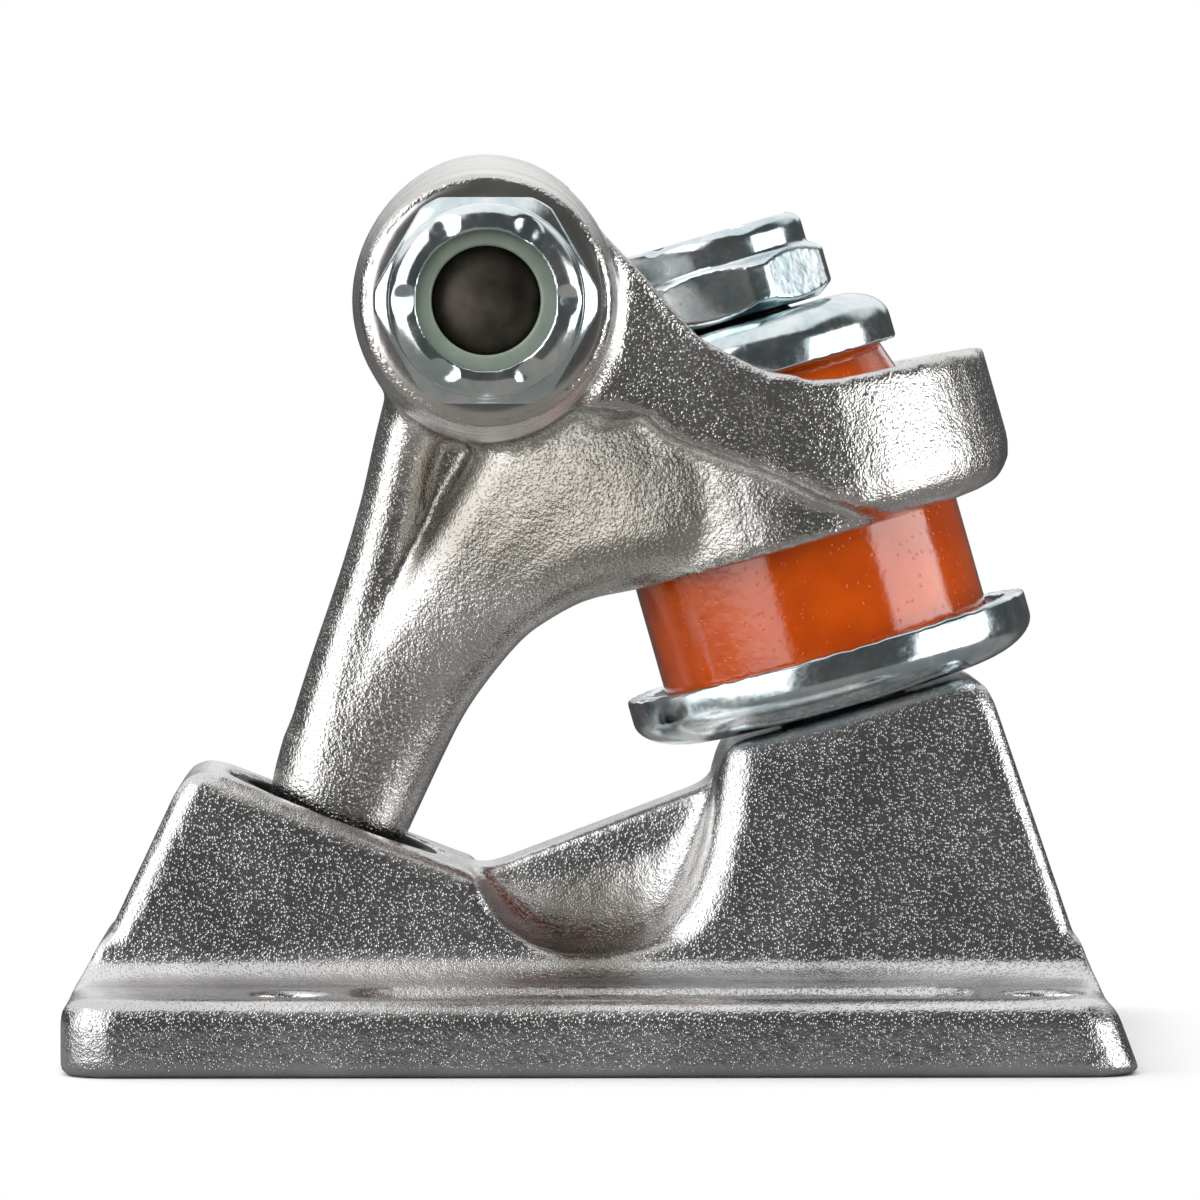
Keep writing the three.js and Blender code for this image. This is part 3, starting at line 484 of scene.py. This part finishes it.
def makeCupWasher(node, radius, depth, rim, level, turned):
    thickness, bore, edge = 2.0, 5.16, 0.3
    seat = radius * 0.68  # the flat of the floor ends here
    lip = depth * 0.42  # the straight part of the wall, under the rim
    floor = thickness - depth
    profile = [(bore + edge, -depth), (seat, -depth)]
    for i in range(1, 13):
        angle = math.pi / 2 * i / 12
        out = (radius - seat) * math.sin(angle)
        down = (depth - lip) * math.cos(angle)
        profile.append((seat + out, -lip - down))
    inside = radius - rim
    profile += arc(radius - edge, -edge, edge, 0, 90, 4)
    profile += arc(inside + edge, -edge, edge, 90, 180, 4)
    corner = inside - abs(floor + lip)
    profile += [(inside, max(-lip, floor + edge)), (corner, floor), (bore + edge, floor)]
    profile += [(bore, floor - edge), (bore, edge - depth), (bore + edge, -depth)]
    obj = spun(node + "_stamping", profile, 144)
    roughenRim(obj, inside, edge)
    shade(obj)
    flip = Matrix.Rotation(math.pi, 4, "X") if turned else Matrix.Identity(4)
    moveInto(obj, kingpinAxis @ up(level) @ flip)
    finished(obj, node, "base", "zinc_plate")


for node, sizes in cupWashers.items():
    makeCupWasher(node, **sizes)
print("washers stamped")


# bushings: cast urethane that squeezes between the washers and the ring's web

bushings = {
    "bottom_bushing": {"low": 12.3, "high": 12.3, "level": -2.0, "height": 12.3, "followsTop": True},
    "top_bushing": {"low": 12.2, "high": 9.6, "level": 13.1, "height": 9.2, "followsTop": False},
}


def makeBushing(node, low, high, level, height, followsTop):
    bore, edge = 5.16, 0.7
    profile = [(bore, edge)] + arc(bore + edge, edge, edge, 180, 270, 5)
    profile += arc(low - edge, edge, edge, -90, 0, 5)
    for i in range(1, 12):
        share = i / 12
        profile.append((low + (high - low) * share, edge + (height - 2 * edge) * share))
    profile += arc(high - edge, height - edge, edge, 0, 90, 5)
    profile += arc(bore + edge, height - edge, edge, 90, 180, 5)
    for i in range(1, 13):
        profile.append((bore, height - edge - (height - 2 * edge) * i / 12))
    obj = spun(node + "_urethane", profile, 128)
    shade(obj)
    moveInto(obj, kingpinAxis @ up(level))
    finished(obj, node, None, "orange_urethane")
    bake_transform(obj)


for node, sizes in bushings.items():
    makeBushing(node, **sizes)
print("bushings cast")


# bolts and nuts

thread = {"depth": 0.6, "pitch": 1.058}
ringStep = 0.13  # between the rings of points that the thread is worked into
runOut = 0.2  # how far the thread goes on into the chamfer


def cutThread(obj, radius, depth, pitch, low, high):  # right-handed, from low to high on a shaft
    for vertex in obj.data.vertices:
        r = math.hypot(vertex.co.x, vertex.co.y) / mm
        z = vertex.co.z / mm
        if r < radius - 0.01 or not low < z < high:
            continue
        turn = math.atan2(vertex.co.y, vertex.co.x) / (2 * math.pi)
        phase = (z / pitch - turn) % 1
        groove = 1 - abs(2 * phase - 1)
        fade = min(1, (z - low) / pitch, (high - z) / pitch)
        scale = 1 - depth * max(0, groove - 0.1) * fade / radius
        vertex.co.x *= scale
        vertex.co.y *= scale


def levels(low, high, step):
    count = max(1, round((high - low) / step))
    return [low + (high - low) * i / count for i in range(count + 1)]


lockNuts = {
    "kingpin_nut": {
        "across": 14.29, "hexHeight": 4.3, "height": 6.6, "collar": 6.9, "bore": 5.16, "pocket": 6.36,
        "pocketDepth": 2.4, "lip": 5.9, "turn": 20, "chamfer": 0.85, "dent": 0.18, "rounding": 4,
    },
    "axle_nut": {
        "across": 12.7, "hexHeight": 6, "height": 8.7, "collar": 6.0, "bore": 4.27, "pocket": 4.9,
        "pocketDepth": 2.2, "lip": 4.3, "turn": 30, "chamfer": 0.8, "dent": 0.34, "rounding": 8,
    },
}


def pressDents(obj, rim, height, depth, turn):  # six, where the collar is closed on the nylon
    reach = 1.15 * mm
    for i in range(6):
        angle = math.radians(60 * i + turn - 30)
        centre = Vector((rim * math.cos(angle), rim * math.sin(angle), height)) * mm
        for vertex in obj.data.vertices:
            away = (vertex.co - centre).length / reach
            if away < 1:
                vertex.co.z -= depth * mm * (1 - away ** 2) ** 2


def makeLockNut(
    name, across, hexHeight, height, collar, bore, pocket, pocketDepth, lip, turn, chamfer, dent, rounding,
):
    cornerTrim, flatTrim, overlap, wall, crimp, voxel = 0.42, 0.45, 0.6, 1.0, 0.55, 0.14
    corner = across / 2 / math.cos(math.pi / 6) - cornerTrim
    flat = across / 2 - flatTrim
    obj = hexPrism(name, across, 0, hexHeight, turn)
    combine(obj, spun("chamfer", [
        (0, 0), (flat, 0), (corner + 0.05, chamfer), (corner + 0.05, hexHeight - chamfer),
        (flat, hexHeight), (0, hexHeight),
    ], 144), "INTERSECT")
    shoulder = (height - hexHeight) * 0.45
    top = [(0, hexHeight - overlap), (collar, hexHeight - overlap), (collar, hexHeight)]
    top += arc(collar - shoulder, height - shoulder, shoulder, 0, 90, 10) + [(0, height)]
    combine(obj, spun("collar", top, 144), "UNION")
    combine(obj, spun("bore", [(0, -1), (bore, -1), (bore, height + 1), (0, height + 1)], 144), "DIFFERENCE")
    floor = height - pocketDepth
    pocketWall = [(0, floor), (pocket, floor), (pocket, height - wall), (lip, height - crimp)]
    pocketWall += [(lip, height + 1), (0, height + 1)]
    combine(obj, spun("pocket", pocketWall, 144), "DIFFERENCE")
    soften(obj, voxel, rounding)
    pressDents(obj, (collar + lip) / 2, height, dent, turn)
    return obj


onKingpin = {"nut": 24.9, "nylon": 29.4}
inserts = {
    "kingpin": {"inner": 5.16, "outer": 6.06, "height": 1.2, "edge": 0.2, "steps": 96},
    "axle": {"inner": 3.35, "outer": 4.75, "height": 1.1, "edge": 0.2, "steps": 96},
}


def flatRing(name, inner, outer, height, edge, steps):
    profile = arc(outer - edge, edge, edge, -90, 0, 3) + arc(outer - edge, height - edge, edge, 0, 90, 3)
    profile += arc(inner + edge, height - edge, edge, 90, 180, 3) + arc(inner + edge, edge, edge, 180, 270, 3)
    profile.append(profile[0])
    obj = spun(name, profile, steps)
    shade(obj)
    return obj


def makeKingpinNut():
    nut = makeLockNut("kingpin_nut_steel", **lockNuts["kingpin_nut"])
    moveInto(nut, kingpinAxis @ up(onKingpin["nut"]))
    finished(nut, "kingpin_nut", "kingpin_nut", "zinc_plate")
    insert = flatRing("kingpin_nut_nylon", **inserts["kingpin"])
    moveInto(insert, kingpinAxis @ up(onKingpin["nylon"]))
    finished(insert, "kingpin_nut_insert", "kingpin_nut_ring", "pale_nylon")


makeKingpinNut()

kingpin = {"radius": 4.76, "across": 14.29, "headTop": -17.9, "headHeight": 5.5, "tip": 30.6, "threadLow": 17}


def makeKingpin(radius, across, headTop, headHeight, tip, threadLow):
    chamfer = 0.7
    profile = [(0, headTop - 1), (radius, headTop - 1)]
    profile += [(radius, z) for z in levels(headTop, threadLow, 3)]
    profile += [(radius, z) for z in levels(threadLow + 0.1, tip - chamfer, ringStep)]
    profile += [(radius - chamfer, tip), (0, tip)]
    shank = spun("kingpin_bolt", profile, 48)
    cutThread(shank, radius, low=threadLow, high=tip - chamfer + runOut, **thread)
    headBottom = headTop - headHeight
    head = hexPrism("head", across, headBottom, headTop, 0)
    corner = across / 2 / math.cos(math.pi / 6)
    chamfered = spun("chamfered", [
        (0, headBottom), (across / 2 - 0.3, headBottom), (corner + 0.1, headBottom + 1.0),
        (corner + 0.1, headTop), (0, headTop),
    ], 96)
    combine(head, chamfered, "INTERSECT")
    smoothEdges(head, 0.2)
    combine(shank, head, "UNION")
    shade(shank)
    moveInto(shank, kingpinAxis)
    finished(shank, "kingpin", "base", "dark_steel")


makeKingpin(**kingpin)
print("kingpin and its nut made")


# axle

axle = {"radius": 3.97, "half": 104.75, "threadFrom": 90.5, "chamfer": 0.8}


def makeAxle(radius, half, threadFrom, chamfer):
    profile = [(0, -half), (radius - chamfer, -half)]
    profile += [(radius, -z) for z in reversed(levels(threadFrom, half - chamfer, ringStep))]
    profile += [(radius, z) for z in levels(-threadFrom + 1, threadFrom - 1, 8)]
    profile += [(radius, z) for z in levels(threadFrom, half - chamfer, ringStep)]
    profile += [(radius - chamfer, half), (0, half)]
    obj = spun("axle_shaft", profile, 48)
    cutThread(obj, radius, low=threadFrom, high=half - chamfer + runOut, **thread)
    cutThread(obj, radius, low=chamfer - half - runOut, high=-threadFrom, **thread)
    shade(obj, 50)
    moveInto(obj, axleEnd(1))
    finished(obj, "axle", "hanger", "axle_steel")


makeAxle(**axle)


# what is on each end of the axle

speedRing = {"inner": 4.27, "outer": 6.35, "height": 1.0, "edge": 0.12, "steps": 80}
onAxle = {"inner": 72.3, "outer": 96.75, "nut": 98.05, "nylon": 105.0}  # distances from the middle


def makeAxleEnd(side, place):
    nut = makeLockNut(f"axle_nut_{side}_steel", **lockNuts["axle_nut"])
    moveInto(nut, place @ up(onAxle["nut"]))
    finished(nut, f"axle_nut_{side}", f"axle_nut_{side}", "zinc_plate")
    insert = flatRing(f"axle_nut_{side}_nylon", **inserts["axle"])
    moveInto(insert, place @ up(onAxle["nylon"]))
    finished(insert, f"axle_nut_insert_{side}", f"axle_nut_ring_{side}", "pale_nylon")
    for where in ("inner", "outer"):
        node = f"speed_ring_{side}_{where}"
        ring = flatRing(node + "_steel", **speedRing)
        moveInto(ring, place @ up(onAxle[where]))
        finished(ring, node, node, "zinc_plate")


makeAxleEnd("left", axleEnd(1))
makeAxleEnd("right", axleEnd(-1))
print("axle and its nuts made")


# stage, light and camera

stage = {"size": (170, 104), "footprint": (38, 27), "gap": 0.02, "fade": 10, "white": 0.94, "underLight": 0.2}


def makeFloor(size, footprint, gap, fade, white, underLight):
    bpy.ops.object.select_all(action="DESELECT")
    bpy.ops.mesh.primitive_plane_add(size=mm, location=(0, 0, -gap * mm))
    floor = bpy.context.object
    floor.name = "floor"
    editAll(floor)
    bpy.ops.transform.resize(value=(*size, 1))
    objectMode()
    look = Finish("floor", Roughness=0.8)
    side = look.add("ShaderNodeVectorMath", {"operation": "ABSOLUTE"}, {0: look.place})
    side = look.add("ShaderNodeVectorMath", {"operation": "SUBTRACT"}, {0: side, 1: (*footprint, 0)})
    side = look.add("ShaderNodeVectorMath", {"operation": "MAXIMUM"}, {0: side, 1: (0, 0, 0)})
    reach = look.add("ShaderNodeVectorMath", {"operation": "LENGTH"}, {0: side}, 1)
    seen = look.add("ShaderNodeLightPath", {}, {}, "Is Camera Ray")
    look.use(Base_Color=look.blend(seen, (underLight, underLight, underLight, 1), (white, white, white, 1)))
    glow = look.add("ShaderNodeEmission", {}, {"Color": (1, 1, 1, 1), "Strength": 1.0})
    surface = Wire(look, look.surface.outputs[0])
    factor = look.step(reach, 0, fade) * seen
    mixed = look.add("ShaderNodeMixShader", {}, {0: factor, 1: surface, 2: glow})
    look.tree.links.new(mixed.socket, look.tree.nodes["Material Output"].inputs["Surface"])
    floor.data.materials.append(look.material)


makeFloor(**stage)

studio = {  # bearings in degrees from the front, heights as the sine of the elevation
    "left": (-92, -24, 0.80, 2.1), "right": (50, 101, 0.34, 3.4), "back": (178, 0.4), "edge": 3,
    "soft": 0.04, "backdrop": 0.7, "overhead": 0.95, "overheadEdge": (0.58, 0.68), "table": 0.28,
    "tableEdge": (-0.34, -0.22), "dark": 0.078, "warm": (1, 0.95, 0.87, 1),
}


def makeStudio(
    left, right, back, edge, soft, backdrop, overhead, overheadEdge, table, tableEdge, dark, warm,
):
    world = bpy.data.worlds.new("studio")
    world.use_nodes = True
    bpy.context.scene.world = world
    sky = Nodes(world.node_tree)
    way = sky.add("ShaderNodeTexCoord", {}, {}, "Generated")
    east = sky.add("ShaderNodeSeparateXYZ", {}, {0: way})
    north = Wire(sky, east.socket.node.outputs[1])
    rise = Wire(sky, east.socket.node.outputs[2])
    bearing = east.maths("ARCTAN2", east, 0 - north) * (180 / math.pi)

    def window(first, last):
        opens = sky.step(bearing, first - edge, first + edge)
        return opens * sky.step(bearing, last - edge, last + edge, 1, 0)

    def softbox(first, last, top, strength):
        return window(first, last) * sky.step(rise, top - soft, top + soft, 1, 0) * strength

    edgeOfBack, topOfBack = back
    behind = (1 - window(-edgeOfBack, edgeOfBack)) * sky.step(rise, topOfBack, topOfBack + 0.1, 1, 0)
    upBehind = sky.step(north, 0.1, 0.5) * sky.step(rise, topOfBack - 0.1, topOfBack + 0.1)
    above = sky.step(rise + north * 0.5, *overheadEdge) * sky.step(east, 0.4, 0.55, 1, 0)
    below = sky.step(rise, *tableEdge, 1, 0)
    sides = dark + softbox(*left) + softbox(*right)
    level = sides * (1 - below) + upBehind * (1 - above) * backdrop
    level = level + above * overhead + below * table
    path = sky.add("ShaderNodeLightPath", {}, {}, "Is Camera Ray")
    kinds = path.socket.node.outputs
    mirrored = Wire(sky, kinds["Is Glossy Ray"]) + Wire(sky, kinds["Is Transmission Ray"])
    shown = path.maths("MAXIMUM", path, mirrored * behind)
    tone = sky.blend(below, (1, 1, 1, 1), warm)
    lit = sky.add("ShaderNodeBackground", {}, {"Color": tone, "Strength": level})
    white = sky.add("ShaderNodeBackground", {}, {"Color": (1, 1, 1, 1), "Strength": 1.0})
    mixed = sky.add("ShaderNodeMixShader", {}, {0: shown, 1: lit, 2: white})
    sky.tree.links.new(mixed.socket, sky.tree.nodes["World Output"].inputs["Surface"])


makeStudio(**studio)

fill = {"place": (-150, -800, 750), "size": 900, "watts": 7}  # for the urethane: the metal doesn't mirror it


def makeFill(place, size, watts):
    data = bpy.data.lights.new("fill", "AREA")
    data.size = size * mm
    data.energy = watts
    lamp = bpy.data.objects.new("fill", data)
    bpy.context.scene.collection.objects.link(lamp)
    lamp.location = Vector(place) * mm
    lamp.rotation_euler = (-lamp.location).to_track_quat("-Z", "Y").to_euler()
    lamp.visible_glossy = False


makeFill(**fill)

camera = {"place": (-8.1, -627, 55), "looksAt": (0.3, 0, 32.9), "lens": 255}


def makeCamera(place, looksAt, lens):
    data = bpy.data.cameras.new("camera")
    obj = bpy.data.objects.new("camera", data)
    bpy.context.scene.collection.objects.link(obj)
    data.lens = lens
    data.sensor_width = 36
    data.clip_start, data.clip_end = 0.05, 20
    obj.location = Vector(place) * mm
    obj.rotation_euler = (Vector(looksAt) - Vector(place)).to_track_quat("-Z", "Y").to_euler()
    bpy.context.scene.camera = obj


makeCamera(**camera)
bpy.context.scene.view_settings.view_transform = "Standard"
print("floor, light and camera set")
